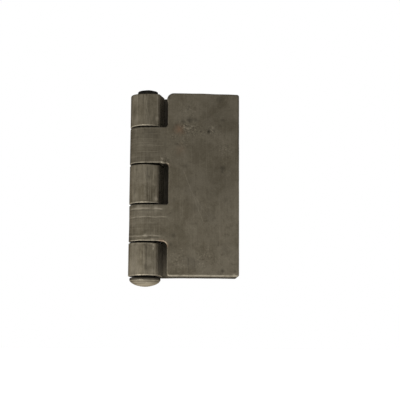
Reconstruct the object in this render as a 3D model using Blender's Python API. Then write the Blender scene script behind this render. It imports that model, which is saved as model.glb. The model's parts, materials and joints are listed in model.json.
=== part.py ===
"""Weld-on butt hinge: two pressed steel leaves that swing on one headed pin.

Frame: +Z runs up along the pin, with the pin's domed head at the bottom.
The frame leaf's outer weld face lies in the plane y = 0 and the hinge stands out
towards -Y.  The origin lies on that face, level with the centre knuckle's middle and
half way between the pin's axis and the leaf's free edge.  The leaves are modelled closed and parallel.
Each leaf is drawn twice, once as the section seen along the pin and once as
the outline seen on its face, and is the solid that the two have in common.
"""
import bpy
import bmesh
from math import sin, cos, pi, radians

# ------------------------------------------------------------------ leaves
DOOR_PLATE_TOP = 0.0640        # plate edges, up and down from the centre knuckle's middle
FRAME_PLATE_TOP = 0.0644
PLATE_BOTTOM = -0.0643
LEAF_REACH = 0.0647            # pin axis to a leaf's free edge
PLATE_THICKNESS = 0.0044
BARREL_RADIUS = 0.01185        # outside of the rolled knuckles
BORE_RADIUS = BARREL_RADIUS - PLATE_THICKNESS
SEAM_GAP = 0.0003              # cut end of a curl to the plate it closes on
CREASE_ANGLE = radians(40)     # short of the frame curl's closing side, where its tail runs straight
TAIL_REACH = 0.0122            # pin axis to the outer corner of the straight tail's cut end
TAIL_END_WIDTH = 0.0046        # the cut end's own thickness
ROUND_TAIL_ANGLE = radians(36)  # how far the door curl runs on past its far side, still round
PRESS_EDGE = 0.0005            # rounding of every sheared edge
PRESS_EDGE_STEPS = 2
PRESS_EDGE_ANGLE = radians(35)

# ------------------------------------------------------------------ knuckles
KNUCKLE_TOP = 0.0635           # the end knuckles stop a little short of the plate's edges
KNUCKLE_BOTTOM = -0.0638
END_KNUCKLE_LIMIT = 0.0404     # height of the middle of the gap to an end knuckle
MID_KNUCKLE_LIMIT = 0.01405    # height of the middle of the gap to the centre knuckle
KNUCKLE_GAP = 0.0010
DOOR_TOP_REACH = 0.0146        # pin axis to the side of each notch in the door leaf
DOOR_MIDDLE_REACH = 0.0153
DOOR_BOTTOM_REACH = 0.0149
FRAME_NOTCH_REACH = 0.0107     # the same in the frame leaf, close round the door's curls
KNUCKLE_STEP_REACH = 0.0135    # where the frame plate's edge steps back to its end knuckles
NOTCH_ROUND = 0.0020           # inner corners of the door leaf's notches
NOTCH_ROUND_SMALL = 0.0012
NOTCH_ROUND_LARGE = 0.0046     # the corner over the lowest knuckle
FRAME_NOTCH_ROUND = 0.0030     # inner corners of the frame leaf's notches
SHOULDER_ROUND = 0.0028        # plate corners beside the end knuckles
CORNER_ROUND = 0.0016          # plate corners at the free edge
OVERCUT = 0.004                # how far the outline runs past the barrel

# ------------------------------------------------------------------ pin
PIN_RADIUS = 0.00715
PIN_TOP_RISE = 0.0041          # pin end above the top knuckle
PIN_CHAMFER = 0.0005
HEAD_RADIUS = 0.0110
HEAD_GAP = 0.0010              # bottom knuckle to the head's shoulder
HEAD_LIP_ROUND = 0.0006
HEAD_LIP_HEIGHT = 0.0014       # shoulder down to where the dome starts
HEAD_HEIGHT = 0.0061
HEAD_DOME_POWER = 1.85         # 2 would be an ellipse, lower is nearer a cone
NECK_FILLET = 0.0006

# ------------------------------------------------------------------ facets
ROUND_STEP = radians(5)        # one facet of a barrel or bore
CORNER_STEP = radians(15)
PIN_SEGMENTS = 72
DOME_STEPS = 12
WELD_DISTANCE = 0.00001        # points closer than this are one point

PIN_X = -LEAF_REACH / 2
PIN_Y = -BARREL_RADIUS
FRONT, BACK = -1, 1            # the side of the pin a leaf's plate lies on


def clear_scene():
    for old in list(bpy.data.objects):
        bpy.data.objects.remove(old, do_unlink=True)


def steel(name, colour, roughness, metallic):
    """A Principled material of one colour."""
    made = bpy.data.materials.new(name)
    made.use_nodes = True
    shader = made.node_tree.nodes["Principled BSDF"]
    shader.inputs["Base Color"].default_value = (*colour, 1.0)
    shader.inputs["Roughness"].default_value = roughness
    shader.inputs["Metallic"].default_value = metallic
    made.diffuse_color = (*colour, 1.0)
    return made


def add_object(name, mesh):
    """Put a mesh into the scene with its origin on the pin's axis."""
    made = bpy.data.objects.new(name, mesh)
    made.location = (PIN_X, PIN_Y, 0)
    bpy.context.scene.collection.objects.link(made)
    return made


def arc(centre, radius, start, end, step):
    """Points along a circular arc, both ends included."""
    count = max(1, round(abs(end - start) / step))
    turn = (end - start) / count
    return [(centre[0] + radius * cos(start + i * turn),
             centre[1] + radius * sin(start + i * turn)) for i in range(count + 1)]


def rounded(corners):
    """A closed outline from (x, z, rounding) corners, an arc at each rounded one."""
    outline = []
    for i, (x, z, radius) in enumerate(corners):
        if radius == 0:
            outline.append((x, z))
            continue
        before, after = corners[i - 1], corners[(i + 1) % len(corners)]
        into = direction(before, (x, z))
        out = direction((x, z), after)
        start = (x - into[0] * radius, z - into[1] * radius)
        centre = (start[0] + out[0] * radius, start[1] + out[1] * radius)
        count = round(pi / 2 / CORNER_STEP)
        for k in range(count + 1):
            a = k * pi / 2 / count
            outline.append((centre[0] - out[0] * radius * cos(a) + into[0] * radius * sin(a),
                            centre[1] - out[1] * radius * cos(a) + into[1] * radius * sin(a)))
    return outline


def direction(a, b):
    """Unit step from a to b along whichever axis joins them."""
    across, up = b[0] - a[0], b[1] - a[1]
    length = abs(across) + abs(up)
    return across / length, up / length


def along_pin(u, v, depth):
    return u, v, depth


def across_pin(u, v, depth):
    return u, depth, v


def prism(name, outline, place, low, high):
    """A closed prism: the outline repeated at two depths by place(u, v, depth)."""
    mesh = bpy.data.meshes.new(name)
    bm = bmesh.new()
    first = [bm.verts.new(place(u, v, low)) for u, v in outline]
    last = [bm.verts.new(place(u, v, high)) for u, v in outline]
    bm.faces.new(first)
    bm.faces.new(last[::-1])
    for i in range(len(outline)):
        j = (i + 1) % len(outline)
        bm.faces.new((first[i], last[i], last[j], first[j]))
    bmesh.ops.recalc_face_normals(bm, faces=bm.faces)
    bm.to_mesh(mesh)
    bm.free()
    return mesh


def straight_tail():
    """Frame curl seen along the pin: round to a crease, then straight to the plate."""
    end = BORE_RADIUS - SEAM_GAP
    points = arc((0, 0), BARREL_RADIUS, pi / 2, 2 * pi - CREASE_ANGLE, ROUND_STEP)
    points += [(TAIL_REACH, end), (TAIL_REACH - TAIL_END_WIDTH, end)]
    points += arc((0, 0), BORE_RADIUS, 2 * pi, pi / 2, ROUND_STEP)
    return points


def round_tail():
    """Door curl seen along the pin: round to its square-cut end beside the plate."""
    end = 2 * pi + ROUND_TAIL_ANGLE
    points = arc((0, 0), BARREL_RADIUS, pi / 2, end, ROUND_STEP)
    points += arc((0, 0), BORE_RADIUS, end, pi / 2, ROUND_STEP)
    return points


def leaf_section(side, curl):
    """Plate and rolled knuckle seen along the pin, with the pin's axis at (0, 0)."""
    points = [(LEAF_REACH, BARREL_RADIUS)] + curl + [(LEAF_REACH, BORE_RADIUS)]
    return [(x, side * y) for x, y in points]


def knuckle_spans(outer):
    """Heights (low, high) of a leaf's knuckles, from the top down."""
    half = KNUCKLE_GAP / 2
    if outer:
        return [(END_KNUCKLE_LIMIT + half, KNUCKLE_TOP),
                (half - MID_KNUCKLE_LIMIT, MID_KNUCKLE_LIMIT - half),
                (KNUCKLE_BOTTOM, -END_KNUCKLE_LIMIT - half)]
    return [(MID_KNUCKLE_LIMIT + half, END_KNUCKLE_LIMIT - half),
            (half - END_KNUCKLE_LIMIT, -MID_KNUCKLE_LIMIT - half)]


def free_edge(top):
    """The two plate corners farthest from the pin, lower one first."""
    return [(LEAF_REACH, PLATE_BOTTOM, CORNER_ROUND), (LEAF_REACH, top, CORNER_ROUND)]


def frame_leaf_outline():
    """Face outline of the leaf with three knuckles: two notches between them."""
    left, step, side = -BARREL_RADIUS - OVERCUT, KNUCKLE_STEP_REACH, FRAME_NOTCH_REACH
    top, middle, bottom = knuckle_spans(True)
    corners = free_edge(FRAME_PLATE_TOP) + [(step, FRAME_PLATE_TOP, 0)]
    corners += [(step, top[1], 0), (left, top[1], 0)]
    corners += [(left, top[0], 0), (side, top[0], FRAME_NOTCH_ROUND)]
    corners += [(side, middle[1], FRAME_NOTCH_ROUND), (left, middle[1], 0)]
    corners += [(left, middle[0], 0), (side, middle[0], FRAME_NOTCH_ROUND)]
    corners += [(side, bottom[1], FRAME_NOTCH_ROUND), (left, bottom[1], 0)]
    corners += [(left, bottom[0], 0), (step, bottom[0], 0), (step, PLATE_BOTTOM, 0)]
    return rounded(corners)


def door_leaf_outline():
    """Face outline of the leaf with two knuckles: a notch between, a step at each end."""
    left = -BARREL_RADIUS - OVERCUT
    upper, lower = knuckle_spans(False)
    corners = free_edge(DOOR_PLATE_TOP) + [(DOOR_TOP_REACH, DOOR_PLATE_TOP, SHOULDER_ROUND)]
    corners += [(DOOR_TOP_REACH, upper[1], NOTCH_ROUND), (left, upper[1], 0)]
    corners += [(left, upper[0], 0), (DOOR_MIDDLE_REACH, upper[0], NOTCH_ROUND)]
    corners += [(DOOR_MIDDLE_REACH, lower[1], NOTCH_ROUND_SMALL), (left, lower[1], 0)]
    corners += [(left, lower[0], 0), (DOOR_BOTTOM_REACH, lower[0], NOTCH_ROUND_LARGE)]
    corners += [(DOOR_BOTTOM_REACH, PLATE_BOTTOM, CORNER_ROUND)]
    return rounded(corners)


def trim(made, name, operation, tool_mesh):
    """Cut a leaf with an unseen tool solid."""
    tool = add_object(name, tool_mesh)
    tool.hide_render = True
    tool.display_type = 'WIRE'
    cut = made.modifiers.new(name, 'BOOLEAN')
    cut.operation = operation
    cut.solver = 'EXACT'
    cut.object = tool


def soften(made):
    """Round every sheared edge."""
    edge = made.modifiers.new("sheared_edges", 'BEVEL')
    edge.width = PRESS_EDGE
    edge.segments = PRESS_EDGE_STEPS
    edge.limit_method = 'ANGLE'
    edge.angle_limit = PRESS_EDGE_ANGLE


def leaf(name, section_outline, face_outline, material):
    """One leaf: its section run the full height, kept only inside its face outline."""
    section = prism(name, section_outline, along_pin, PLATE_BOTTOM - OVERCUT, FRAME_PLATE_TOP + OVERCUT)
    made = add_object(name, section)
    made.data.materials.append(material)
    outline = prism(name + "_outline", face_outline, across_pin,
                    -BARREL_RADIUS - OVERCUT, BARREL_RADIUS + OVERCUT)
    trim(made, name + "_outline", 'INTERSECT', outline)
    return made


def free_tails(made):
    """Cut the frame's straight tails away between its knuckles: they reach past its notches."""
    spans = knuckle_spans(True)
    for above, below in zip(spans, spans[1:]):
        left, right = -BARREL_RADIUS - OVERCUT, TAIL_REACH + OVERCUT
        window = [(left, below[1]), (right, below[1]), (right, above[0]), (left, above[0])]
        name = "tail_window_" + str(spans.index(above) + 1)
        trim(made, name, 'DIFFERENCE', prism(name, window, across_pin,
                                             -BARREL_RADIUS - OVERCUT, BORE_RADIUS - SEAM_GAP / 2))


def pin_profile():
    """(radius, height) points of the pin from the head's lowest point to its top."""
    shoulder = KNUCKLE_BOTTOM - HEAD_GAP
    dome_start = shoulder - HEAD_LIP_HEIGHT
    dome_height = HEAD_HEIGHT - HEAD_LIP_HEIGHT
    points = [(0, shoulder - HEAD_HEIGHT)]
    for i in range(1, DOME_STEPS + 1):
        a = i * pi / 2 / DOME_STEPS
        points.append((HEAD_RADIUS * sin(a) ** (2 / HEAD_DOME_POWER),
                       dome_start - dome_height * abs(cos(a)) ** (2 / HEAD_DOME_POWER)))
    lip = (HEAD_RADIUS - HEAD_LIP_ROUND, shoulder - HEAD_LIP_ROUND)
    points += arc(lip, HEAD_LIP_ROUND, 0, pi / 2, CORNER_STEP)
    neck = (PIN_RADIUS + NECK_FILLET, shoulder + NECK_FILLET)
    points += arc(neck, NECK_FILLET, -pi / 2, -pi, CORNER_STEP)
    end = KNUCKLE_TOP + PIN_TOP_RISE
    points += [(PIN_RADIUS, end - PIN_CHAMFER), (PIN_RADIUS - PIN_CHAMFER, end), (0, end)]
    return points


def hinge_pin(name, material):
    """The pin as one turned body: each profile point becomes a ring or a tip."""
    mesh = bpy.data.meshes.new(name)
    bm = bmesh.new()
    rings = []
    for radius, height in pin_profile():
        if radius == 0:
            rings.append([bm.verts.new((0, 0, height))])
            continue
        rings.append([bm.verts.new((radius * cos(2 * pi * i / PIN_SEGMENTS),
                                    radius * sin(2 * pi * i / PIN_SEGMENTS), height))
                      for i in range(PIN_SEGMENTS)])
    for below, above in zip(rings, rings[1:]):
        for i in range(PIN_SEGMENTS):
            j = (i + 1) % PIN_SEGMENTS
            if len(below) == 1:
                bm.faces.new((below[0], above[j], above[i]))
            elif len(above) == 1:
                bm.faces.new((below[i], below[j], above[0]))
            else:
                bm.faces.new((below[i], below[j], above[j], above[i]))
    bmesh.ops.remove_doubles(bm, verts=bm.verts, dist=WELD_DISTANCE)
    bmesh.ops.recalc_face_normals(bm, faces=bm.faces)
    for face in bm.faces:
        face.smooth = True
    bm.to_mesh(mesh)
    bm.free()
    mesh.materials.append(material)
    return add_object(name, mesh)


clear_scene()
frame_steel = steel("frame_leaf_steel", (0.105, 0.092, 0.068), 0.55, 0.85)
door_steel = steel("door_leaf_steel", (0.112, 0.098, 0.072), 0.52, 0.85)
pin_steel = steel("hinge_pin_steel", (0.150, 0.132, 0.098), 0.42, 0.90)
frame_leaf = leaf("frame_leaf", leaf_section(BACK, straight_tail()), frame_leaf_outline(), frame_steel)
free_tails(frame_leaf)
soften(frame_leaf)
door_leaf = leaf("door_leaf", leaf_section(FRONT, round_tail()), door_leaf_outline(), door_steel)
soften(door_leaf)
hinge_pin("hinge_pin", pin_steel)
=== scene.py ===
"""Looks of the weld-on hinge: both leaves as bent sheets, the forged pin, mill-scaled steel.

Each leaf is drawn flat, as the blank that would be punched out of plate, and then rolled:
u runs across the leaf (0 where the plate meets the roll, positive towards the free edge,
negative round the curl) and z runs along the pin.  Lengths are metres, except in the lists
of marks near the end, which are millimetres.
"""
import json
from math import ceil, cos, pi, radians, sin, tan

import bpy
import numpy as np
from mathutils import Matrix, Vector, noise
from mathutils.geometry import delaunay_2d_cdt


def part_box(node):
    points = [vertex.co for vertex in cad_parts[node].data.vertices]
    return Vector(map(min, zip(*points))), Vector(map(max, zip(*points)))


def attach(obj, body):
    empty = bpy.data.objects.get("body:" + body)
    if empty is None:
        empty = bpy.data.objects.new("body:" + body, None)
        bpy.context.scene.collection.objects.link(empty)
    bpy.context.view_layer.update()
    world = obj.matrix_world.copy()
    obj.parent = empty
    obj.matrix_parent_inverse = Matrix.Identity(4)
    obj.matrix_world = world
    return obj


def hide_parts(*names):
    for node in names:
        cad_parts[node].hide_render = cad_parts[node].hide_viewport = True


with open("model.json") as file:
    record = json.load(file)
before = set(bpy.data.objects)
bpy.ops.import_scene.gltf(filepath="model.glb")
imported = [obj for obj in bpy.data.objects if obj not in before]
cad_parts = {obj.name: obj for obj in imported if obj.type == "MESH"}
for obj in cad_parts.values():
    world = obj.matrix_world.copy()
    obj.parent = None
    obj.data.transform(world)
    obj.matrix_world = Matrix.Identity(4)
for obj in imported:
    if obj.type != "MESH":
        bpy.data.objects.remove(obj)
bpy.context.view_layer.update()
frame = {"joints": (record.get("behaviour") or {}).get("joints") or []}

MM = 0.001
DOOR_LOW, DOOR_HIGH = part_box("door_leaf")
FRAME_LOW, FRAME_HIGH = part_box("frame_leaf")
PIN_LOW, PIN_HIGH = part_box("hinge_pin")
PIN_X, PIN_Y = frame["joints"][0]["pos_m"][:2]

# ------------------------------------------------------------------ leaves
BARREL_RADIUS = PIN_X - DOOR_LOW.x
LEAF_REACH = DOOR_HIGH.x - PIN_X
PLATE_TOP, PLATE_BOTTOM = DOOR_HIGH.z, DOOR_LOW.z
FRAME_TOP, FRAME_BOTTOM = FRAME_HIGH.z, FRAME_LOW.z
THICKNESS = 4.4 * MM
BORE_RADIUS = BARREL_RADIUS - THICKNESS
SEAM_GAP = 0.3 * MM              # between the end of a creased curl and its own plate
CREASE_ANGLE = radians(40)       # the crease lies this far short of the free edge's direction
TAIL_REACH = 12.2 * MM           # pin axis to the end of the straight tail past the crease
TAIL_END_WIDTH = 4.6 * MM
ROUND_TAIL_ANGLE = radians(36)   # a round curl ends this far past the free edge's direction
FRONT, BACK = -1, 1              # the side of the pin a leaf's plate lies on

KNUCKLE_TOP = 63.65 * MM         # the end knuckles' outer ends at the front of the roll
KNUCKLE_BOTTOM = -63.5 * MM
END_KNUCKLE_LIMIT = 40.4 * MM    # heights of the gaps between knuckles, at their middles
MID_KNUCKLE_LIMIT = 14.05 * MM
HALF_GAP = 0.47 * MM
DOOR_TOP_REACH = 14.8 * MM       # pin axis to the side of each notch
DOOR_MIDDLE_REACH = 15.7 * MM
DOOR_BOTTOM_REACH = 15.15 * MM
FRAME_NOTCH_REACH = 10.7 * MM
DOOR_PLATE_START = 12 * MM       # below this u the door leaf's edges and scale are a curl's

# ------------------------------------------------------------------ mesh fineness
OUTLINE_STEP = 0.7 * MM
PLATE_STEP = 0.9 * MM
CURL_STEP = 0.62 * MM
CURL_TALLNESS = 1.3              # the curl's grid is this much coarser along the pin
ROW_SPACING = 0.87               # between rows of a nearly equilateral grid, in steps
ROUNDING_ROWS = 4                # rows of faces over a rounded edge
WALL_ROWS = 3                    # rows of faces down a sheared edge
PATH_SAMPLES = 2400
CREASE_SOFTNESS = 0.28 * MM      # half width over which a crease is blunted

# ------------------------------------------------------------------ uneven surfaces
INNER_ROUND = 0.3 * MM           # rounding of the inner face's edges
EDGE_MARGIN = 0.25 * MM          # strip between a rounded edge and the face's own grid
WAVER, WAVER_LENGTH = 0.10 * MM, 9 * MM          # how far an outline wanders, over what length
BROAD_DIP, BROAD_LENGTH = 0.10 * MM, 30 * MM     # the same for the unevenness of the faces
FINE_DIP, FINE_LENGTH = 0.035 * MM, 7 * MM
WALL_HOLLOW = 0.05 * MM          # how far a sheared wall is hollow at mid thickness
WALL_ROUGH, WALL_LENGTH = 0.05 * MM, 2.2 * MM
OUTER, INNER, WALL = 0, 1, 2     # which face of the sheet a point belongs to
FACE_SHIFT = 37.0                # keeps the patterns of a sheet's faces apart
FAR_FROM_EDGE = 6 * MM           # distances to the outline are not told apart past this


# ================================================================== flat blanks
def rounded(corners):
    """Closed outline from (u, z, radius) corners, an arc at each rounded one."""
    outline = []
    for i, (u, z, radius) in enumerate(corners):
        here = Vector((u, z))
        if radius == 0:
            outline.append(here)
            continue
        back = (Vector(corners[i - 1][:2]) - here).normalized()
        ahead = (Vector(corners[(i + 1) % len(corners)][:2]) - here).normalized()
        half = back.angle(ahead) / 2
        centre = here + (back + ahead).normalized() * radius / sin(half)
        start = here + back * radius / tan(half) - centre
        turn = (pi - 2 * half) * (1 if back.cross(ahead) < 0 else -1)
        steps = max(2, ceil(abs(turn) * radius / OUTLINE_STEP * 1.6))
        for k in range(steps + 1):
            outline.append(centre + Matrix.Rotation(turn * k / steps, 2) @ start)
    return outline


def refined(outline, step):
    """The same closed outline with points no further apart than step."""
    points = []
    for a, b in zip(outline, outline[1:] + outline[:1]):
        count = max(1, ceil((b - a).length / step))
        points += [a.lerp(b, k / count) for k in range(count)]
    return np.array(points)


def inward(points):
    """Unit step into the sheet at each point of a closed, anticlockwise outline, mitred."""
    after = np.roll(points, -1, axis=0) - points
    after /= np.linalg.norm(after, axis=1)[:, None]
    before = np.roll(after, 1, axis=0)
    normals = np.stack([-after[:, 1] - before[:, 1], after[:, 0] + before[:, 0]], axis=1)
    return normals / (np.sum(normals * normals, axis=1) / 2)[:, None]


def wavered(points, amount, scale, seed):
    """An outline whose edge wanders in and out a little, as a sheared one does."""
    steps = [noise.noise(Vector((u / scale, z / scale, seed))) for u, z in points]
    return points + inward(points) * (np.array(steps) * amount)[:, None]


def inside(points, loop, margin):
    """Which points lie inside a closed loop and at least margin away from it."""
    crossings = np.zeros(len(points), int)
    away = np.full(len(points), np.inf)
    for a, b in zip(loop, np.roll(loop, -1, axis=0)):
        crosses = (a[1] > points[:, 1]) != (b[1] > points[:, 1])
        if crosses.any():
            at = a[0] + (points[:, 1] - a[1]) * (b[0] - a[0]) / (b[1] - a[1])
            crossings += crosses & (at > points[:, 0])
        t = np.clip((points - a) @ (b - a) / np.sum((b - a) ** 2), 0, 1)
        away = np.minimum(away, np.linalg.norm(a + t[:, None] * (b - a) - points, axis=1))
    return points[(crossings % 2 == 1) & (away > margin)]


def filled(loop):
    """Triangles over the sheet inside a loop.

    Returns the points, the triangles, and each point's number among the loop's points, which
    come first, and the grid's.
    """
    rows = []
    low, high = loop.min(axis=0), loop.max(axis=0)
    u, row = high[0], 0
    while u > low[0]:
        z_step = PLATE_STEP if u > 0 else PLATE_STEP * CURL_TALLNESS
        shift = z_step / 2 if row % 2 else 0
        rows += [(u, z) for z in np.arange(low[1] + shift, high[1], z_step)]
        u -= PLATE_STEP * ROW_SPACING if u > 0 else CURL_STEP
        row += 1
    grid = inside(np.array(rows), loop, CURL_STEP * 0.6)
    points = [Vector(p) for p in np.vstack([loop, grid])]
    made = delaunay_2d_cdt(points, [], [list(range(len(loop)))], 1, 1e-7)
    numbers = [ids[0] for ids in made[3]]
    return np.array([points[i] for i in numbers]), [tuple(f) for f in made[2]], numbers


# ================================================================== rolling
def round_path(angle_end):
    """A leaf whose curl is round to its end.

    Returns a function from u to the section's outer and inner point, the u of the end, and the u
    past which the sheet counts as a tail: here none does, so it lies beyond the end.
    """
    def at(u):
        if u >= 0:
            return (u, BARREL_RADIUS), (u, BORE_RADIUS)
        a = pi / 2 - u / BARREL_RADIUS
        return ((BARREL_RADIUS * cos(a), BARREL_RADIUS * sin(a)),
                (BORE_RADIUS * cos(a), BORE_RADIUS * sin(a)))
    end = -BARREL_RADIUS * (angle_end - pi / 2)
    return at, end, end - THICKNESS


def creased_path():
    """The same for a curl that is round to a crease and then runs straight to its end."""
    round_at, crease_u = round_path(2 * pi - CREASE_ANGLE)[:2]
    crease = Vector(round_at(crease_u)[0])
    end = Vector((TAIL_REACH, BORE_RADIUS - SEAM_GAP))
    tail = (end - crease).length
    bore_part = BORE_RADIUS * CREASE_ANGLE
    inner_length = bore_part + BORE_RADIUS - SEAM_GAP
    inner_end = Vector((TAIL_REACH - TAIL_END_WIDTH, BORE_RADIUS - SEAM_GAP))

    def at(u):
        if u >= crease_u:
            return round_at(u)
        share = (crease_u - u) / tail
        done = share * inner_length
        a = 2 * pi - CREASE_ANGLE + min(done, bore_part) / BORE_RADIUS
        inner = Vector((BORE_RADIUS * cos(a), BORE_RADIUS * sin(a)))
        if done > bore_part:
            inner = inner.lerp(inner_end, (done - bore_part) / (inner_length - bore_part))
        return crease.lerp(end, share), inner
    return at, crease_u - tail, crease_u


def facet_depth(u, facets):
    """How far a hand-rolled curl falls short of round: (start, end, depth) between its creases."""
    for start, end, depth in facets:
        if start <= -u / BARREL_RADIUS < end:
            return depth * sin(pi * (-u / BARREL_RADIUS - start) / (end - start)) ** 2
    return 0.0


class Roll:
    """The section of a leaf as a table along u, from which any point of the sheet is placed."""

    def __init__(self, side, path, facets):
        at, self.end, self.crease = path
        self.side = side
        self.u = np.linspace(self.end, LEAF_REACH, PATH_SAMPLES)
        pairs = np.array([[tuple(p) for p in at(u)] for u in self.u])
        across = pairs[:, 1] - pairs[:, 0]
        across /= np.linalg.norm(across, axis=1)[:, None]
        sunk = np.array([facet_depth(u, facets) for u in self.u])
        self.outer = self.blunted(pairs[:, 0] + across * sunk[:, None])
        self.inner = self.blunted(pairs[:, 1])
        self.across = self.inner - self.outer
        self.across /= np.linalg.norm(self.across, axis=1)[:, None]

    def blunted(self, points):
        """The same line of points with its creases averaged out a little."""
        reach = int(CREASE_SOFTNESS / (self.u[1] - self.u[0]))
        first = points[0] + (points[0] - points[1]) * np.arange(reach, 0, -1)[:, None]
        last = points[-1] + (points[-1] - points[-2]) * np.arange(1, reach + 1)[:, None]
        padded = np.vstack([first, points, last])
        window = np.ones(2 * reach + 1) / (2 * reach + 1)
        return np.stack([np.convolve(padded[:, k], window, 'valid') for k in (0, 1)], axis=1)

    def place(self, u, z, depth, from_inner):
        """World points of the sheet, depth below its outer face or above its inner one."""
        table, sign = (self.inner, -1) if from_inner else (self.outer, 1)
        x, y, nx, ny = (np.interp(u, self.u, column) for column in (*table.T, *self.across.T))
        return np.stack([PIN_X + x + nx * depth * sign,
                         PIN_Y + self.side * (y + ny * depth * sign), z], axis=1)


# ================================================================== leaf meshes
def smooth_noise(points, scale, seed):
    """Noise from -1 to 1 at points in the flat blank."""
    return np.array([noise.noise(Vector((u / scale, z / scale, seed))) for u, z in points])


def ramp(values, start, end):
    """0 up to start and 1 from end on, straight between them; end may be the lower one."""
    return np.clip((values - start) / (end - start), 0, 1)


def sink(flat, spec, face):
    """How far the surface of a face lies below its true plane at each flat point."""
    seed = spec["seed"] + 10 * face
    broad = 0.5 + 0.5 * smooth_noise(flat, BROAD_LENGTH, seed)
    fine = 0.5 + 0.5 * smooth_noise(flat, FINE_LENGTH, seed + 3)
    depth = broad * BROAD_DIP + fine * FINE_DIP
    if face == OUTER:
        for u, z, radius, dent in spec["dents"]:
            away = np.hypot(flat[:, 0] - u * MM, flat[:, 1] - z * MM) / (radius * MM)
            depth += dent * MM * np.exp(-away * away)
    return depth


class SheetPoints:
    """The points of a leaf's mesh in the order they are made, with what the material needs."""

    def __init__(self, roll, spec):
        self.roll, self.spec = roll, spec
        self.placed, self.flats, self.rims, self.tags, self.lows = [], [], [], [], []

    def add(self, placed, flat, tag, rim, low):
        """Take points in: where they are, their flat place, their face, their distance from the
        outline and how much they face down.  Returns the index of the first.
        """
        first = sum(len(points) for points in self.placed)
        self.placed.append(placed)
        self.flats.append(flat)
        self.rims.append(np.zeros(len(flat)) + rim)
        self.tags.append(np.full(len(flat), tag))
        self.lows.append(np.zeros(len(flat)) + low)
        return first

    def add_to_face(self, flat, depth, face, rim, low):
        """Place flat points at a depth under a face and take them in."""
        sunk = depth + sink(flat, self.spec, face)
        placed = self.roll.place(flat[:, 0], flat[:, 1], sunk, face == INNER)
        return self.add(placed, flat, face, rim, low)


def face_of_sheet(points, face, middle, edge, step_in, radius):
    """One face with its rounded edge: returns its mesh faces and the row of vertices at its rim."""
    sheet, triangles, numbers = middle
    count = len(edge)
    first = points.add_to_face(sheet, 0.0, face, distance_to(sheet, edge), 0.0)
    faces = [(first + a, first + b, first + c) if face == OUTER else (first + a, first + c, first + b)
             for a, b, c in triangles]
    loop_at = {number: i for i, number in enumerate(numbers) if number < count}
    rows = [[first + loop_at[i] for i in range(count)]]
    # How much each rounded edge faces down: the material paints a highlight there, where light from below
    # falls.
    downward = np.clip(step_in[:, 1], 0, 1)
    for k in range(ROUNDING_ROWS + 1):
        t = pi / 2 * k / ROUNDING_ROWS
        into = radius * (1 - sin(t))
        start = points.add_to_face(edge + step_in * into[:, None], radius * (1 - cos(t)), face, into,
                                   downward * cos(t) ** 0.5)
        rows.append([start + i for i in range(count)])
    for upper, lower in zip(rows, rows[1:]):
        faces += band(upper, lower, face == OUTER)
    return faces, rows[-1]


def sheared_walls(points, edge, step_in, rounds, rim_rows):
    """Mesh faces down the cut edge of the sheet, from its outer rim to its inner one."""
    rows = [rim_rows[OUTER]]
    for k in range(1, WALL_ROWS):
        share = k / WALL_ROWS
        rough = smooth_noise(edge, WALL_LENGTH, points.spec["seed"] + 20 + k) * WALL_ROUGH
        flat = edge + step_in * (WALL_HOLLOW * sin(pi * share) + rough)[:, None]
        top = points.roll.place(flat[:, 0], flat[:, 1], rounds[OUTER], False)
        bottom = points.roll.place(flat[:, 0], flat[:, 1], rounds[INNER], True)
        start = points.add(top * (1 - share) + bottom * share, flat, WALL, 0.0, 0.0)
        rows.append([start + i for i in range(len(edge))])
    rows.append(rim_rows[INNER])
    faces = []
    for upper, lower in zip(rows, rows[1:]):
        faces += band(upper, lower, True)
    return faces


def painted_hidden_shade(flats, tags, tail_start):
    """From 0 to 1, how much painted shade a point gets, and how much its wear and painted highlights fade,
    for lying hidden from the light: by face, then by place.
    """
    u, z = flats.T
    past_curls = 17 * MM
    # Less painted shade beside the lowest knuckle, where light from below reaches in.
    beside_lowest = ramp(z, -END_KNUCKLE_LIMIT, -END_KNUCKLE_LIMIT - 18 * MM) * (u < 16 * MM)
    open_plate = (ramp(u, past_curls, past_curls + 5 * MM)
                  * ramp(z, PLATE_BOTTOM + 2 * MM, PLATE_BOTTOM + 8 * MM))
    low_edge = ramp(z, PLATE_BOTTOM + 1.3 * MM, PLATE_BOTTOM + 0.6 * MM)
    between_knuckles = (u < past_curls) & (np.abs(z) < END_KNUCKLE_LIMIT + 2 * MM)
    underneath = (u > 12 * MM) & (z < PLATE_BOTTOM + 1 * MM)
    # Painted shade: on the tails past the crease, on the inner faces (kept along the bottom edge, which is
    # seen from below between the leaves), and on all sheared walls, most between knuckles and under the
    # plate.
    on_outer = 0.24 * ramp(u, tail_start, tail_start - 1 * MM) * (1 - beside_lowest)
    on_inner = np.maximum((1 - 0.95 * beside_lowest) * (1 - 0.65 * open_plate), low_edge)
    on_wall = np.where(between_knuckles | underneath, 0.9, 0.35)
    return np.choose(tags, [on_outer, on_inner, on_wall])


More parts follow.
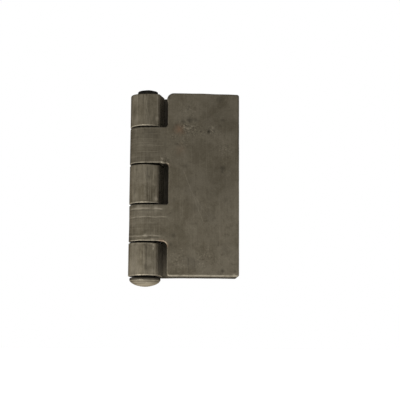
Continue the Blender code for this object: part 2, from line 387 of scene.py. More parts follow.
def leaf_mesh(name, roll, outline, spec):
    """One closed mesh: both faces of the sheet, their rounded edges and the sheared walls.

    Returns the mesh and, for its vertices, their flat places, faces and distances from the outline.
    """
    edge = wavered(refined(outline, OUTLINE_STEP), WAVER, WAVER_LENGTH, spec["seed"])
    step_in = inward(edge)
    rounds = [np.array([spec["edge_round"](u, z) for u, z in edge]), np.full(len(edge), INNER_ROUND)]
    margin = np.maximum(*rounds) + EDGE_MARGIN
    middle = filled(edge + step_in * margin[:, None])
    points = SheetPoints(roll, spec)
    faces, rim_rows = [], []
    for face in (OUTER, INNER):
        made, rim_row = face_of_sheet(points, face, middle, edge, step_in, rounds[face])
        faces += made
        rim_rows.append(rim_row)
    faces += sheared_walls(points, edge, step_in, rounds, rim_rows)
    if roll.side == BACK:
        faces = [tuple(reversed(f)) for f in faces]
    mesh = bpy.data.meshes.new(name)
    mesh.from_pydata([tuple(v) for v in np.vstack(points.placed)], [], faces)
    mesh.validate()
    mesh.shade_smooth()
    flats, tags, rims = np.vstack(points.flats), np.concatenate(points.tags), np.concatenate(points.rims)
    u, z = flats.T
    store(mesh, "blank", 'FLOAT_VECTOR', np.stack([u / MM, z / MM, tags * FACE_SHIFT], axis=1))
    store(mesh, "rim", 'FLOAT', rims / MM)
    # The inner map holds painted shade for the hidden parts of the sheet.
    store(mesh, "inner", 'FLOAT', painted_hidden_shade(flats, tags, roll.crease))
    # low_rim carries the painted highlight of the rims that face down.
    store(mesh, "low_rim", 'FLOAT', np.concatenate(points.lows) * (tags == OUTER))
    store(mesh, "curl", 'FLOAT', ramp(u, spec["curl_start"], spec["curl_start"] - 6 * MM))
    return mesh, flats, tags, rims


def band(upper, lower, outward):
    """Quads between two closed rows of vertices."""
    quads = []
    for i in range(len(upper)):
        j = (i + 1) % len(upper)
        quad = (upper[i], lower[i], lower[j], upper[j])
        quads.append(quad if outward else quad[::-1])
    return quads


def distance_to(points, edge):
    """Rough distance from each point to the nearest outline point, up to FAR_FROM_EDGE."""
    found = np.full(len(points), FAR_FROM_EDGE)
    at_once = 64
    for start in range(0, len(edge), at_once):
        chunk = edge[start:start + at_once]
        away = np.linalg.norm(points[:, None] - chunk[None], axis=2).min(axis=1)
        found = np.minimum(found, away)
    return found


def store(mesh, name, kind, values):
    """Keep one value or vector per vertex for the materials."""
    attribute = mesh.attributes.new(name, kind, 'POINT')
    field = "vector" if kind == 'FLOAT_VECTOR' else "value"
    attribute.data.foreach_set(field, np.asarray(values, np.float32).ravel())


def spots(flats, tags, marks, seed):
    """Strength from 0 to 1 of ragged (u, z, radius, strength) marks on the outer face."""
    total = np.zeros(len(flats))
    for u, z, radius, strength in marks:
        away = np.hypot(flats[:, 0] - u * MM, flats[:, 1] - z * MM) / (radius * MM)
        near = away < 2.5        # a mark has faded to nothing past this
        if near.any():
            ragged = smooth_noise(flats[near], radius * MM * 0.7, seed)
            value = strength * np.exp(-(away[near] * (1 + 0.5 * ragged)) ** 2)
            total[near] = np.maximum(total[near], value)
    return np.where(tags == OUTER, total, 0)


# ================================================================== node graphs
class Graph:
    """Adds nodes to a material's or world's tree and links them."""

    def __init__(self, tree):
        self.tree = tree
        tree.nodes.clear()

    def add(self, kind, inputs, output=0, **settings):
        """Add a node, link or set its inputs, and return one of its outputs."""
        node = self.tree.nodes.new(kind)
        for key, value in settings.items():
            setattr(node, key, value)
        for key, value in inputs.items():
            if isinstance(value, bpy.types.NodeSocket):
                self.tree.links.new(value, node.inputs[key])
            else:
                node.inputs[key].default_value = value
        return node.outputs[output]

    def attribute(self, name, output):
        return self.add("ShaderNodeAttribute", {}, output, attribute_name=name)

    def math(self, operation, a, b=0.0):
        return self.add("ShaderNodeMath", {0: a, 1: b}, operation=operation)

    def stretched(self, vector, scale):
        return self.add("ShaderNodeVectorMath", {0: vector, 1: scale}, operation='MULTIPLY')

    def turned(self, vector, angle, scale):
        return self.add("ShaderNodeMapping",
                        {"Vector": vector, "Rotation": (0, 0, angle), "Scale": scale})

    def noise(self, vector, scale, detail, roughness, distortion=0.0):
        return self.add("ShaderNodeTexNoise", {"Vector": vector, "Scale": scale, "Detail": detail,
                                               "Roughness": roughness, "Distortion": distortion})

    def noise_vector(self, vector, scale):
        return self.add("ShaderNodeTexNoise", {"Vector": vector, "Scale": scale, "Detail": 2.0}, "Color")

    def ranged(self, value, low, high, to_low=0.0, to_high=1.0):
        """Smooth step of a value from low to high, which may be the lower one."""
        return self.add("ShaderNodeMapRange", {"Value": value, "From Min": low, "From Max": high,
                                               "To Min": to_low, "To Max": to_high},
                        interpolation_type='SMOOTHSTEP')

    def mixed(self, share, a, b):
        """Colour a with a share of colour b over it."""
        return self.add("ShaderNodeMix", {"Factor": share, "A": a, "B": b}, 2, data_type='RGBA')


def colour(red, green, blue):
    return (red, green, blue, 1.0)


EDGE_TINT = colour(0.22, 0.20, 0.17)  # scaled steel does not brighten at a glancing angle


def tinted(value, warmth=1.0):
    """The steel's brownish grey at a given level; less warmth is nearer to neutral."""
    return colour(value, value * (1 - 0.135 * warmth), value * (1 - 0.375 * warmth))


def stroke(g, blank, start, end, half_width, strength):
    """Strength of one slightly wandering, broken mark from one (u, z) place to another."""
    start, end = Vector(start), Vector(end)
    length, angle = (end - start).length, Vector((1, 0)).angle_signed(end - start)
    wobble = g.add("ShaderNodeVectorMath", {0: g.noise_vector(blank, 0.25), 1: (0.5, 0.5, 0.5)},
                   operation='SUBTRACT')
    moved = g.add("ShaderNodeVectorMath", {0: wobble, 1: (1.2, 1.2, 0.0), 2: blank},
                  operation='MULTIPLY_ADD')
    placed = g.add("ShaderNodeMapping", {"Vector": moved, "Location": (start.x, start.y, 0.0),
                                         "Rotation": (0.0, 0.0, -angle)}, vector_type='TEXTURE')
    along = g.add("ShaderNodeSeparateXYZ", {0: placed}, "X")
    across = g.math('ABSOLUTE', g.add("ShaderNodeSeparateXYZ", {0: placed}, "Y"))
    ends = g.math('MULTIPLY', g.ranged(along, -1.0, 1.5), g.ranged(along, length + 1.0, length - 1.5))
    broken = g.ranged(g.noise(blank, 0.5, 3.0, 0.6), 0.35, 0.55, 0.45, 1.0)
    line = g.math('MULTIPLY', g.ranged(across, half_width, 0.0), ends)
    return g.math('MULTIPLY', g.math('MULTIPLY', line, broken), strength)


def strokes(g, blank, marks):
    """Strength of several marks together."""
    total = stroke(g, blank, *marks[0])
    for mark in marks[1:]:
        total = g.math('MAXIMUM', total, stroke(g, blank, *mark))
    return total


def new_material(name):
    """A material and the graph to fill it with."""
    made = bpy.data.materials.new(name)
    made.use_nodes = True
    return made, Graph(made.node_tree)


def steel_surface(g, base, rough, relief):
    """Finish a steel material: its colour, its roughness and a shallow relief."""
    bump = g.add("ShaderNodeBump", {"Height": relief, "Strength": 0.35, "Distance": 0.12 * MM})
    shader = g.add("ShaderNodeBsdfPrincipled", {"Base Color": base, "Roughness": rough, "Metallic": 0.85,
                                                "Specular Tint": EDGE_TINT, "Normal": bump})
    out = g.tree.nodes.new("ShaderNodeOutputMaterial")
    g.tree.links.new(shader, out.inputs["Surface"])


def leaf_steel(name, level, streaking, banding, light_marks, dark_marks):
    """Hot-rolled steel with dull mill scale, streaks along the sheet, scratches and wear at the edges,
    with painted highlights and painted shade.

    level is how light the scale is, streaking and banding how strongly a curl shows lines along
    the pin and round it.
    """
    made, g = new_material(name)
    blank = g.attribute("blank", "Vector")
    rim, inner, curl, stain, rust, polish_and_highlight, pitted, low_rim = (
        g.attribute(kept, "Fac")
        for kept in ("rim", "inner", "curl", "stain", "rust", "polish_and_highlight", "pitted", "low_rim"))

    broad = g.noise(blank, 0.045, 3.0, 0.55, 0.8)
    patch = g.noise(blank, 0.22, 6.0, 0.68, 0.3)
    grain = g.noise(blank, 1.1, 5.0, 0.75)
    streak = g.noise(g.stretched(blank, (0.85, 0.035, 1.0)), 1.0, 4.0, 0.65)
    band_noise = g.noise(g.stretched(blank, (0.03, 1.1, 1.0)), 1.0, 4.0, 0.65)
    speck = g.noise(blank, 0.75, 3.0, 0.7)
    streaks = g.math('ADD', g.math('MULTIPLY', curl, streaking), 0.22)
    bands = g.math('MULTIPLY', curl, banding)
    light_speck = g.math('MULTIPLY', g.ranged(speck, 0.57, 0.66), pitted)
    dark_speck = g.math('MULTIPLY', g.ranged(speck, 0.47, 0.38), pitted)

    base = g.mixed(g.ranged(broad, 0.32, 0.68), tinted(level * 0.84, 1.1), tinted(level * 1.17, 0.97))
    # Mottling, each line: a pattern, where it begins and is full, how much shows, lightness, warmth.
    for pattern, begins, full, shown, lightness, warmth in (
            (patch, 0.50, 0.74, 0.60, 1.42, 0.95),
            (patch, 0.50, 0.26, 0.60, 0.58, 1.15),
            (grain, 0.52, 0.78, 0.55, 1.75, 0.90),
            (grain, 0.48, 0.24, 0.60, 0.45, 1.20),
            (streak, 0.52, 0.74, streaks, 1.90, 0.90),
            (streak, 0.48, 0.28, streaks, 0.38, 1.10),
            (band_noise, 0.52, 0.72, bands, 2.20, 0.90),
            (band_noise, 0.48, 0.30, bands, 0.35, 1.10)):
        share = g.math('MULTIPLY', g.ranged(pattern, begins, full), shown)
        base = g.mixed(share, base, tinted(level * lightness, warmth))
    base = g.mixed(light_speck, base, tinted(level * 2.6, 0.9))
    base = g.mixed(dark_speck, base, tinted(level * 0.18, 1.1))

    scratch_one = g.noise(g.turned(blank, radians(62), (0.03, 2.6, 1.0)), 1.0, 2.0, 0.5)
    scratch_two = g.noise(g.turned(blank, radians(-35), (0.025, 2.2, 1.0)), 1.0, 2.0, 0.5)
    scratches = g.math('MAXIMUM', g.ranged(scratch_one, 0.70, 0.78), g.ranged(scratch_two, 0.71, 0.79))
    base = g.mixed(g.math('MULTIPLY', scratches, 0.28), base, tinted(level * 2.1, 0.85))
    # Lighter and darker strokes: scratches and lines of the sheet, and on the frame leaf's curls painted
    # highlights and painted shade along the creases.
    bright = strokes(g, blank, light_marks)
    base = g.mixed(bright, base, tinted(level * 2.7, 0.85))
    base = g.mixed(strokes(g, blank, dark_marks), base, tinted(level * 0.25))

    dark = g.math('MULTIPLY', stain, g.ranged(patch, 0.30, 0.60, 0.6, 1.0))
    base = g.mixed(dark, base, tinted(level * 0.13))
    edge_wear = g.math('MULTIPLY', g.ranged(rim, 0.9, 0.15),
                       g.ranged(g.noise(blank, 0.8, 4.0, 0.6), 0.38, 0.62))
    # Painted highlight on the rims that face down, as lit from below.
    painted_low_rim_highlight = g.math('MULTIPLY', low_rim,
                      g.ranged(g.noise(blank, 0.35, 3.0, 0.6), 0.30, 0.60, 0.35, 1.0))
    wear_and_highlight = g.math('MAXIMUM', g.math('MULTIPLY', edge_wear, 0.30), g.math('MULTIPLY', painted_low_rim_highlight, 0.60))
    # Lighter spots: partly polish, partly painted highlight.
    wear_and_highlight = g.math('MAXIMUM', wear_and_highlight, polish_and_highlight)
    # Wear and painted highlights fade where the inner map paints shade.
    wear_and_highlight = g.math('MULTIPLY', wear_and_highlight, g.ranged(inner, 0.0, 0.6, 1.0, 0.25))
    wear_and_highlight = g.math('MULTIPLY', wear_and_highlight, g.ranged(dark, 0.1, 0.6, 1.0, 0.1))
    # Lighter steel: real wear at the edges together with painted highlights.
    base = g.mixed(wear_and_highlight, base, tinted(level * 3.0, 0.85))
    rusty = g.math('MULTIPLY', rust, g.ranged(grain, 0.3, 0.6, 0.4, 1.0))
    base = g.mixed(rusty, base, colour(0.20, 0.105, 0.062))
    # Painted shade: hidden faces, tails and walls are darkened by the inner map.
    base = g.mixed(g.math('MULTIPLY', inner, 0.70), base, tinted(level * 0.17, 0.45))

    rough = g.ranged(patch, 0.3, 0.7, 0.60, 0.46)
    rough = g.math('SUBTRACT', rough, g.math('MULTIPLY', wear_and_highlight, 0.16))
    relief = g.math('MULTIPLY', patch, 0.5)
    for pattern, height in ((grain, 0.35), (band_noise, 0.15), (scratches, -0.25), (bright, -0.5),
                            (light_speck, 0.6), (dark_speck, -0.6)):
        relief = g.math('ADD', relief, g.math('MULTIPLY', pattern, height))
    steel_surface(g, base, rough, relief)
    return made


# ================================================================== scene
FLOOR_HEIGHT = -0.30             # well under the hinge, which hangs in front of the camera
FLOOR_SIZE = 8.0                 # half the width of the square


def studio():
    """Plain white surroundings that give more light from below and the sides than from above."""
    scene = bpy.context.scene
    scene.view_settings.view_transform = 'Standard'
    world = bpy.data.worlds.new("studio")
    scene.world = world
    world.use_nodes = True
    g = Graph(world.node_tree)
    direction = g.add("ShaderNodeTexCoord", {}, "Generated")
    up = g.add("ShaderNodeSeparateXYZ", {0: direction}, "Z")
    side = g.math('ABSOLUTE', g.add("ShaderNodeSeparateXYZ", {0: direction}, "X"))
    level = g.math('MULTIPLY', g.ranged(up, -0.1, 0.6, 1.0, 0.38), g.ranged(side, 0.35, 0.95, 1.0, 1.45))
    seen = g.add("ShaderNodeLightPath", {}, "Is Camera Ray")
    strength = g.add("ShaderNodeMix", {"Factor": seen, "A": level, "B": 1.0}, 0, data_type='FLOAT')
    back = g.add("ShaderNodeBackground", {"Color": colour(1, 1, 1), "Strength": strength})
    out = world.node_tree.nodes.new("ShaderNodeOutputWorld")
    world.node_tree.links.new(back, out.inputs["Surface"])


def floor():
    """A wide, pale, gently glowing square far below the hinge."""
    corners = [(x * FLOOR_SIZE, y * FLOOR_SIZE, FLOOR_HEIGHT)
               for x, y in ((-1, -1), (1, -1), (1, 1), (-1, 1))]
    mesh = bpy.data.meshes.new("floor")
    mesh.from_pydata(corners, [], [(0, 1, 2, 3)])
    pale = bpy.data.materials.new("floor_pale")
    pale.use_nodes = True
    shader = pale.node_tree.nodes["Principled BSDF"]
    shader.inputs["Base Color"].default_value = colour(0.9, 0.9, 0.9)
    shader.inputs["Roughness"].default_value = 0.9
    shader.inputs["Emission Color"].default_value = colour(1, 1, 1)
    shader.inputs["Emission Strength"].default_value = 1.1
    mesh.materials.append(pale)
    made = bpy.data.objects.new("floor", mesh)
    bpy.context.scene.collection.objects.link(made)


def soft_light(name, place, target, size, power):
    """A square area lamp that faces its target."""
    data = bpy.data.lights.new(name, 'AREA')
    data.size = size
    data.energy = power
    made = bpy.data.objects.new(name, data)
    bpy.context.scene.collection.objects.link(made)
    made.location = place
    made.rotation_mode = 'QUATERNION'
    made.rotation_quaternion = (Vector(target) - Vector(place)).to_track_quat('-Z', 'Y')


CAMERA_TARGET = Vector((PIN_X + 37.86 * MM, PIN_Y, -9.73 * MM))
CAMERA_DISTANCE = 623.85 * MM
CAMERA_AZIMUTH = radians(-0.885)
CAMERA_ELEVATION = radians(-8.262)
CAMERA_ROLL = radians(0.363)
CAMERA_LENS = 79.86              # mm, on a sensor SENSOR_WIDTH mm wide
SENSOR_WIDTH = 36


def camera():
    """A long lens a little below the hinge's middle, square on to the door leaf."""
    data = bpy.data.cameras.new("camera")
    data.sensor_width = SENSOR_WIDTH
    data.lens = CAMERA_LENS
    made = bpy.data.objects.new("camera", data)
    bpy.context.scene.collection.objects.link(made)
    ahead = Vector((-sin(CAMERA_AZIMUTH) * cos(CAMERA_ELEVATION),
                    cos(CAMERA_AZIMUTH) * cos(CAMERA_ELEVATION), -sin(CAMERA_ELEVATION)))
    made.location = CAMERA_TARGET - ahead * CAMERA_DISTANCE
    made.rotation_mode = 'QUATERNION'
    level = ahead.to_track_quat('-Z', 'Y')
    made.rotation_quaternion = Matrix.Rotation(-CAMERA_ROLL, 3, ahead).to_quaternion() @ level
    bpy.context.scene.camera = made


def add_piece(name, mesh, material, body, node):
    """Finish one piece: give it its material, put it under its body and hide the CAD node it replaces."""
    mesh.materials.append(material)
    piece = bpy.data.objects.new(name, mesh)
    bpy.context.scene.collection.objects.link(piece)
    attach(piece, body)
    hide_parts(node)


# ================================================================== the leaves' outlines
def door_outline(end):
    """Blank of the leaf with two knuckles, anticlockwise from the free edge's lower corner.

    As in the photo, the top edge is a little uneven, the upper inner corner reaches towards the
    pin and the edge over the lowest notch turns down before its corner.
    """
    near, far = MID_KNUCKLE_LIMIT + HALF_GAP, END_KNUCKLE_LIMIT - HALF_GAP
    lip = near - 0.6 * MM        # the plate stands a little proud of the knuckle it was cut with
    corners = [
        (LEAF_REACH, PLATE_BOTTOM, 1.6 * MM), (LEAF_REACH, PLATE_TOP - 0.5 * MM, 1.5 * MM),
        (38 * MM, PLATE_TOP + 0.15 * MM, 30 * MM),
        (DOOR_TOP_REACH - 2.0 * MM, PLATE_TOP + 0.2 * MM, 4.6 * MM),
        (DOOR_TOP_REACH, PLATE_TOP - 7 * MM, 6.0 * MM), (DOOR_TOP_REACH, far, 2.0 * MM),
        (end, far, 1.0 * MM), (end, near, 1.0 * MM),
        (10.6 * MM, near, 0.8 * MM), (11.5 * MM, lip, 0.8 * MM),
        (DOOR_MIDDLE_REACH, lip, 1.8 * MM), (DOOR_MIDDLE_REACH, -near, 1.3 * MM),
        (end, -near, 1.0 * MM), (end, -far, 1.0 * MM), (8.5 * MM, -far, 12 * MM),
        (DOOR_BOTTOM_REACH, -far - 0.7 * MM, 3.6 * MM), (DOOR_BOTTOM_REACH, PLATE_BOTTOM, 1.8 * MM)]
    return rounded(corners)


def door_edge_round(u, z):
    """Rounding of the outer face's edge: most along the bottom, less beside the notches."""
    if u > DOOR_PLATE_START and z < PLATE_BOTTOM + 2.5 * MM:
        return 1.15 * MM
    if DOOR_PLATE_START < u < DOOR_PLATE_START + 6 * MM:
        return 0.75 * MM
    return 0.55 * MM


def door_dark_edge(u, z):
    """How much darker the outer face's edges are made: not along the bottom, most on the upper part of the
    free edge.
    """
    if u > DOOR_PLATE_START and z < PLATE_BOTTOM + 4 * MM:
        return 0.0
    if u > LEAF_REACH - 2 * MM:
        return 0.45 if z > 20 * MM else 0.15
    if z > PLATE_TOP - 2.5 * MM:
        return 0.22
    return 0.1


def frame_outline(end):
    """Blank of the leaf with three knuckles, anticlockwise from the free edge's lower corner.

    The end knuckles narrow a little from the plate to the front of the roll, and the lower two
    knuckles' straight tails stand slightly higher than their rolls.
    """
    far, near = END_KNUCKLE_LIMIT + HALF_GAP, MID_KNUCKLE_LIMIT - HALF_GAP
    side, front = FRAME_NOTCH_REACH, -pi * BARREL_RADIUS
    roll_end, tail_start, rise = 1.26 * front, 1.34 * front, 0.5 * MM
    corners = [
        (LEAF_REACH, FRAME_BOTTOM, 2.0 * MM), (LEAF_REACH, FRAME_TOP - 0.5 * MM, 1.8 * MM),
        (16 * MM, FRAME_TOP + 0.5 * MM, 12 * MM), (0, FRAME_TOP - 0.1 * MM, 12 * MM),
        (0.66 * front, FRAME_TOP - 0.2 * MM, 15 * MM), (front, KNUCKLE_TOP, 15 * MM),
        (1.25 * front, KNUCKLE_TOP + 0.7 * MM, 10 * MM),
        (end, FRAME_TOP + 0.9 * MM, 1.6 * MM), (end, far, 1.0 * MM), (side, far, 3.0 * MM),
        (side, near, 3.0 * MM), (roll_end, near, 2.0 * MM), (tail_start, near + rise, 2.0 * MM),
        (end, near + rise, 1.0 * MM), (end, -near, 1.0 * MM), (side, -near, 3.0 * MM),
        (side, -far, 3.0 * MM), (roll_end, -far, 2.0 * MM), (tail_start, rise - far, 2.0 * MM),
        (end, rise - far, 1.0 * MM), (end, KNUCKLE_BOTTOM, 1.0 * MM), (front, KNUCKLE_BOTTOM, 20 * MM),
        (0, FRAME_BOTTOM, 20 * MM), (12 * MM, FRAME_BOTTOM - 0.12 * MM, 20 * MM),
        (32 * MM, FRAME_BOTTOM + 0.15 * MM, 30 * MM)]
    return rounded(corners)


def frame_edge_round(u, z):
    """The frame leaf's edges are rounded alike all the way round."""
    return 0.6 * MM


def frame_dark_edge(u, z):
    """Its scale is slightly darker all the way round."""
    return 0.1


# ================================================================== the pin
PIN_RADIUS = 7.15 * MM
PIN_LEAN = 0.25 * MM             # its top stands this far off the axis, within the bores' clearance
PIN_CHAMFER = 0.45 * MM
PIN_LOWEST, PIN_HIGHEST = PIN_LOW.z + 0.05 * MM, PIN_HIGH.z - 0.05 * MM
SHANK_ROWS = 60
HEAD_RADIUS = 10.95 * MM
HEAD_TOP = KNUCKLE_BOTTOM - 1.3 * MM
HEAD_LIP = 1.3 * MM              # height of the head's straight side
HEAD_LIP_ROUND = 0.7 * MM
HEAD_DOME_POWER = 1.85           # 2 would be an ellipse, lower is nearer a cone
HEAD_DOME_ROWS = 28
NECK_ROUND = 0.6 * MM
PIN_SEGMENTS = 144


def quarter(steps, first, last):
    """Angles at some of the steps of a quarter turn."""
    return [i * pi / 2 / steps for i in range(first, last + 1)]


def pin_profile():
    """(radius, height) of the turned shape, from the head's lowest point to the top's middle."""
    dome_top = HEAD_TOP - HEAD_LIP
    neck = PIN_RADIUS + NECK_ROUND
    points = [(HEAD_RADIUS * sin(a) ** (2 / HEAD_DOME_POWER),
               dome_top - (dome_top - PIN_LOWEST) * cos(a) ** (2 / HEAD_DOME_POWER))
              for a in quarter(HEAD_DOME_ROWS, 0, HEAD_DOME_ROWS)]
    points += [(HEAD_RADIUS - HEAD_LIP_ROUND * (1 - cos(a)), HEAD_TOP - HEAD_LIP_ROUND * (1 - sin(a)))
               for a in quarter(7, 1, 7)]
    points += [(r, HEAD_TOP + 0.03 * MM)
               for r in np.linspace(HEAD_RADIUS - 1.4 * MM, neck + 0.4 * MM, 3)]
    points += [(neck - NECK_ROUND * sin(a), HEAD_TOP + NECK_ROUND * (1 - cos(a)))
               for a in quarter(4, 0, 4)]
    points += [(PIN_RADIUS, z)
               for z in np.linspace(HEAD_TOP + 1.5 * MM, PIN_HIGHEST - 1.5 * MM, SHANK_ROWS)]
    points += [(PIN_RADIUS - PIN_CHAMFER * (1 - cos(a)), PIN_HIGHEST - PIN_CHAMFER * (1 - sin(a)))
               for a in quarter(5, 0, 5)]
    points += [(r, PIN_HIGHEST) for r in np.linspace(PIN_RADIUS - 1.2 * MM, 1 * MM, 7)]
    return points


def pin_mesh(name):
    """The forged pin: a turned shape with a slightly uneven head and an uneven cut end."""
    profile = pin_profile()
    verts, values = [], []
    for r, z in profile[1:]:
        head = 1.0 if z < HEAD_TOP else 0.0
        lean = PIN_LEAN * (z - HEAD_TOP) / (PIN_HIGH.z - HEAD_TOP)
        for i in range(PIN_SEGMENTS):
            a = 2 * pi * i / PIN_SEGMENTS
            bump = noise.noise(Vector((1.6 * cos(a), 1.6 * sin(a), z / (2.5 * MM))))
            fine = noise.noise(Vector((6 * cos(a), 6 * sin(a), z / (1.2 * MM) + 9)))
            radius = r * (1 + head * (0.010 * bump + 0.003 * fine - 0.012))
            height = z + head * 0.10 * MM * (bump + 1) * (r / HEAD_RADIUS)
            if z > PIN_HIGH.z - 0.6 * MM:
                height -= 0.12 * MM * (1 + noise.noise(Vector((r * cos(a), r * sin(a), 0)) / (4 * MM)))
            verts.append((PIN_X + lean + radius * cos(a), PIN_Y + radius * sin(a), height))
            values.append((a * PIN_RADIUS / MM, r / MM, z / MM))
    rows = [[k * PIN_SEGMENTS + i for i in range(PIN_SEGMENTS)] for k in range(len(profile) - 1)]
    faces = []
    for low, high in zip(rows, rows[1:]):
        faces += band(high, low, True)
    for ring, at_top in ((rows[0], False), (rows[-1], True)):
        centre = len(verts)
        middle = np.mean([verts[i] for i in ring], axis=0)
        height = middle[2] if at_top else PIN_LOWEST
        verts.append((middle[0], middle[1], height))
        values.append((0, 0, height / MM))
        for i, j in zip(ring, ring[1:] + ring[:1]):
            faces.append((i, j, centre) if at_top else (j, i, centre))
    mesh = bpy.data.meshes.new(name)
    mesh.from_pydata([tuple(v) for v in verts], [], faces)
    mesh.shade_smooth()
    values = np.array(values)
    store(mesh, "turned", 'FLOAT_VECTOR', values)
    store(mesh, "shank", 'FLOAT', np.clip((values[:, 2] - HEAD_TOP / MM) / 0.4 + 1, 0, 1))
    return mesh


def forged_steel(name):
    """The pin: bare tan forging scale on the head, with painted shade on its straight side and a painted
    highlight low on its dome; the shank and cut end very dark, painted shade.
    """
    made, g = new_material(name)
    place = g.stretched(g.add("ShaderNodeTexCoord", {}, "Object"), (1 / MM, 1 / MM, 1 / MM))
    shank = g.attribute("shank", "Fac")
    turned = g.attribute("turned", "Vector")
    patch = g.noise(place, 0.30, 4.0, 0.6, 0.5)
    grain = g.noise(place, 1.8, 4.0, 0.65)
    rings = g.noise(g.stretched(turned, (0.03, 0.3, 1.0)), 1.1, 3.0, 0.6)
    base = g.mixed(g.ranged(patch, 0.35, 0.65), tinted(0.128), tinted(0.190))
    base = g.mixed(g.ranged(rings, 0.40, 0.68, 0.0, 0.55), base, tinted(0.30, 0.85))
    base = g.mixed(g.ranged(rings, 0.48, 0.30, 0.0, 0.55), base, tinted(0.055))
    base = g.mixed(g.ranged(grain, 0.62, 0.76, 0.0, 0.5), base, colour(0.19, 0.095, 0.06))
    height = g.add("ShaderNodeSeparateXYZ", {0: turned}, "Z")
    lip_level, low_level = (HEAD_TOP - HEAD_LIP) / MM, PIN_LOW.z / MM
    # Painted shade on the head's straight side, which faces away from the light from below.
    painted_lip_shade = g.math('MULTIPLY', g.ranged(height, lip_level - 0.74, lip_level - 0.50), 0.78)
    base = g.mixed(painted_lip_shade, base, tinted(0.030, 0.8))
    # Painted highlight on the lowest part of the dome, which faces the light from below.
    painted_dome_highlight = g.math('MULTIPLY', g.ranged(height, low_level + 2.3, low_level + 0.9), 0.45)
    base = g.mixed(painted_dome_highlight, base, tinted(0.42, 0.85))
    # The shank and cut end are coloured very dark: painted shade on steel like the head's.
    painted_shank_shade = g.mixed(g.ranged(patch, 0.4, 0.7), colour(0.010, 0.010, 0.009), colour(0.028, 0.025, 0.020))
    base = g.mixed(shank, base, painted_shank_shade)
    rough = g.ranged(patch, 0.3, 0.7, 0.50, 0.38)
    relief = g.math('ADD', g.math('MULTIPLY', grain, 0.4), g.math('MULTIPLY', rings, 0.6))
    steel_surface(g, base, rough, relief)
    return made


# ================================================================== what differs between the leaves
# All marks are in millimetres on the flat blank.  A spot is (u, z, radius, strength), a dent
# (u, z, radius, depth) and a stroke (start, end, half width, strength).  A facet is (start, end,
# depth), its creases given as angles round the curl from the plate.
DOOR_SHADES = [
    (48, 3, 15, 0.20), (36, 20, 14, 0.14), (50, 46, 14, 0.18), (31.3, -3.5, 6, 0.20),
    (44.2, -22.5, 5, 0.18), (36.1, -16.2, 3.5, 0.22), (31.4, 1.9, 3.5, 0.22), (48.4, -7, 3.5, 0.2),
    (20, -64, 4, 0.22), (19, -45, 3.0, 0.16), (31, -53.5, 3.5, 0.28), (33.5, -57.5, 3.0, 0.25),
    (55, -45, 3, 0.15)]
DOOR_SPECKS = [
    (53.2, 11.0, 1.9, 0.75), (52.8, 8.6, 1.6, 0.55), (27.4, 12.4, 2.0, 0.35), (51.5, 59.6, 3.2, 0.40),
    (15.6, 61.0, 1.2, 0.6), (29.6, 54.2, 1.1, 0.45), (53.4, 45.1, 1.1, 0.6), (51.4, 40.9, 1.2, 0.45),
    (30, 45.2, 2.0, 0.6), (34.5, 45.0, 1.8, 0.4), (25.5, 43.8, 1.3, 0.55), (21, 41.4, 1.4, 0.45),
    (43.4, 36.6, 1.3, 0.95), (21.5, 27.8, 1.2, 0.55), (19.4, -36.2, 1.5, 0.5), (17.9, -42.5, 1.0, 0.5),
    (53.3, -60.3, 1.0, 0.95), (61.5, -60.5, 0.9, 0.5), (52.1, -62.3, 1.8, 0.3)]
DOOR_KNUCKLE_STAINS = [
    (-8, 14.5, 4, 0.30), (1, 14.5, 4, 0.30), (13.6, 14.6, 2.2, 0.55), (-12, -39.6, 3, 0.2),
    (3, 35.5, 3.2, 0.24), (7, 32, 2.5, 0.2), (-9.5, 36, 1.6, 0.28), (8, 22, 4, 0.16), (13.5, 26, 3, 0.16)]
DOOR_SPEC = {
    "seed": 1.3, "edge_round": door_edge_round, "dark_edge": door_dark_edge, "facets": [],
    "curl_start": DOOR_PLATE_START,
    "dents": [(-18.6, -27, 13, 0.22), (24, 41, 1.6, 0.07), (28, 38.6, 1.0, 0.08),
              (33, 40.2, 0.9, 0.07), (45.6, 38.8, 1.0, 0.06), (53, 12.5, 1.8, 0.07)],
    "stain": DOOR_SHADES + DOOR_SPECKS + DOOR_KNUCKLE_STAINS,
    "pitted": [(27, 39.5, 4.5, 0.85), (33, 37.5, 4, 0.85), (39, 37, 3, 0.6), (46, 36.5, 3.5, 0.7),
               (29, 44.5, 3, 0.6), (55, 24, 5, 0.4), (19, 34, 4, 0.35), (30, 52, 5, 0.4),
               (14, 15, 4, 0.5), (26, 29, 4, 0.35), (24, -54, 7, 0.45), (40, -52, 8, 0.35)],
    "rust": [(22.8, 38.0, 2.7, 0.42), (24, 24, 3, 0.12), (15.0, 12.6, 1.2, 0.4), (10.8, -40.2, 1.0, 0.6),
             (12.4, -40.8, 1.1, 0.7), (13.8, -41.8, 1.1, 0.7), (14.9, -43.3, 1.0, 0.5)],
    # Lighter spots: partly polished steel, partly painted highlights, such as glints on corners and the
    # lit lower left of the knuckles.
    "polish_and_highlight": [(22, 52, 13, 0.07), (23, 26, 12, 0.07), (-3, 30, 3.5, 0.06), (5.1, -39.0, 0.9, 0.6),
              (-12, -25, 6, 0.15), (-11.5, 19, 4, 0.15), (26.5, 39.6, 0.8, 0.45), (29.6, 38.9, 0.7, 0.5),
              (31.8, 40.3, 0.6, 0.4), (46.5, 39.3, 0.8, 0.35), (11.0, 14.9, 0.7, 0.9),
              (11.2, 17.2, 0.8, 0.4), (61.3, -63.4, 1.0, 0.8), (0.2, -36.3, 0.9, 0.8),
              (7, -17.2, 1.6, 0.35), (-5, -17.2, 2.2, 0.3)]}
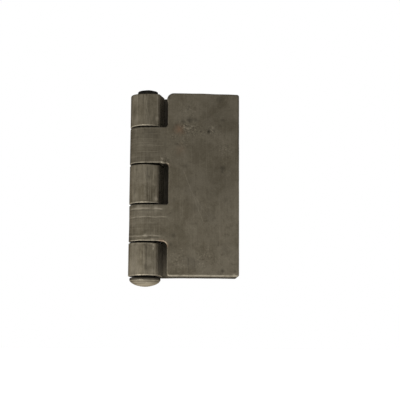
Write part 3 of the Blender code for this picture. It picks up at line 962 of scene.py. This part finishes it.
DOOR_LIGHT_MARKS = [
    ((-13, -17.7), (3, -17.4), 0.80, 0.65), ((6, -17.5), (12, -17.9), 0.7, 0.75),
    ((-16, -23.6), (15, -23.3), 0.45, 0.62), ((-14, -36.7), (11, -36.5), 0.50, 0.66),
    ((-6, 26.9), (12, 26.7), 0.45, 0.30), ((10.2, 18.8), (11.8, 16.4), 0.5, 0.5),
    ((26, 9.5), (40, -27.0), 0.50, 0.22), ((30, -3), (44, -24), 0.40, 0.16),
    ((6, 61.0), (12, 61.6), 0.4, 0.1)]
DOOR_DARK_MARKS = [
    ((-10, -15.7), (11, -15.6), 0.9, 0.30), ((-12, 15.1), (9, 15.1), 0.7, 0.30),
    ((-16, -18.9), (12, -18.7), 0.50, 0.40), ((0, -37.9), (10, -37.7), 0.9, 0.28),
    ((-16, -24.6), (14, -24.3), 0.45, 0.30), ((29.5, -50), (30.5, -62), 0.7, 0.30),
    ((34, -51), (34.6, -60), 0.6, 0.22)]

FRAME_SPEC = {
    "seed": 7.9, "edge_round": frame_edge_round, "dark_edge": frame_dark_edge,
    "facets": [(0.6, 1.6, 0.10 * MM), (1.6, pi + 0.04, 0.16 * MM), (pi + 0.04, pi + 0.87, 0.42 * MM)],
    "curl_start": 0.0,
    "dents": [(40, 22, 2.5, 0.08), (22, -34, 2.0, 0.08)],
    "stain": [(36, -8, 6, 0.25), (52, 40, 4, 0.3), (20, 50, 3, 0.25), (-39.4, 4.6, 1.4, 0.50),
              (-38.0, -44.5, 1.2, 0.4), (-37.6, -57.0, 1.4, 0.4), (-33, 5, 3, 0.15), (-40, 10.5, 4, 0.20)],
    "pitted": [(34, 44, 8, 0.5), (50, -20, 9, 0.5), (20, 6, 6, 0.5), (30, -52, 7, 0.5)],
    "rust": [(30, 20, 5, 0.25), (48, -38, 4, 0.3), (12, -50, 3, 0.3)],
    # Lighter spots: partly polished steel, partly painted glints along the curls' creases and on their lit
    # lower parts.
    "polish_and_highlight": [(-42.2, -41.0, 1.2, 0.5), (-43.9, -42.4, 0.9, 0.65), (-43.6, -44.9, 0.8, 0.65),
              (-45.6, 46.5, 1.3, 0.40), (-45.4, -10.5, 1.4, 0.5), (-28.7, 46, 3.2, 0.20),
              (-28.7, -9, 3.2, 0.22), (-26, -58, 4.5, 0.25), (-28, 61, 2.5, 0.2),
              (-44.5, -60.5, 1.5, 0.3), (-55, -58, 9, 0.48), (-41, -54, 2.6, 0.24)]}
# Its lighter strokes along the pin are painted highlights on the curls' front crease and, on the top
# knuckle, beside the main crease.
FRAME_LIGHT_MARKS = [
    ((-26, -41.6), (-43, -41.8), 0.40, 0.35), ((-36.8, 62), (-36.9, 42), 0.50, 0.40),
    ((-36.8, 12), (-36.8, -12), 0.50, 0.25), ((-45.6, 63), (-45.6, 41), 1.3, 0.22),
    ((-36.8, -43), (-36.8, -60), 0.50, 0.25)]
# Its darker strokes along the pin are painted shade just past the curls' front crease.
FRAME_DARK_MARKS = [
    ((-31, -12.3), (-44.5, -12.3), 0.8, 0.30), ((-28, -42.8), (-42, -43.0), 0.50, 0.40),
    ((-38.6, 62), (-38.6, 42), 0.70, 0.25), ((-38.4, 12), (-38.4, -12), 0.80, 0.45),
    ((-38.4, -43), (-38.4, -60), 0.80, 0.40)]


# ================================================================== the hinge
def make_leaf(name, body, node, side, path, outline, spec, material):
    """Roll one leaf's blank, keep its marks for the material and hand the piece over."""
    roll = Roll(side, path, spec["facets"])
    mesh, flats, tags, rims = leaf_mesh(name, roll, outline(roll.end), spec)
    marks = {kind: spots(flats, tags, spec[kind], spec["seed"] + 5)
             for kind in ("rust", "polish_and_highlight", "pitted", "stain")}
    dark_edge = np.array([spec["dark_edge"](u, z) for u, z in flats])
    dark_edge *= ramp(rims, 1.4 * MM, 0.4 * MM) * (tags == OUTER)
    marks["stain"] = np.maximum(marks["stain"], dark_edge)
    for kind, strengths in marks.items():
        store(mesh, kind, 'FLOAT', strengths)
    add_piece(name, mesh, material, body, node)


camera()
studio()
floor()
soft_light("low_softbox", (-0.22, -0.30, -0.24), (PIN_X, PIN_Y, -60 * MM), size=0.20, power=1.15)
make_leaf("front_leaf_plate", "door", "door_leaf", FRONT,
          round_path(2 * pi + ROUND_TAIL_ANGLE), door_outline, DOOR_SPEC,
          leaf_steel("door_scale", 0.096, 0.30, 0.45, DOOR_LIGHT_MARKS, DOOR_DARK_MARKS))
make_leaf("back_leaf_plate", "frame", "frame_leaf", BACK,
          creased_path(), frame_outline, FRAME_SPEC,
          leaf_steel("frame_scale", 0.115, 0.70, 0.0, FRAME_LIGHT_MARKS, FRAME_DARK_MARKS))
add_piece("pin_forged", pin_mesh("pin_forged"), forged_steel("pin_scale"), "frame", "hinge_pin")
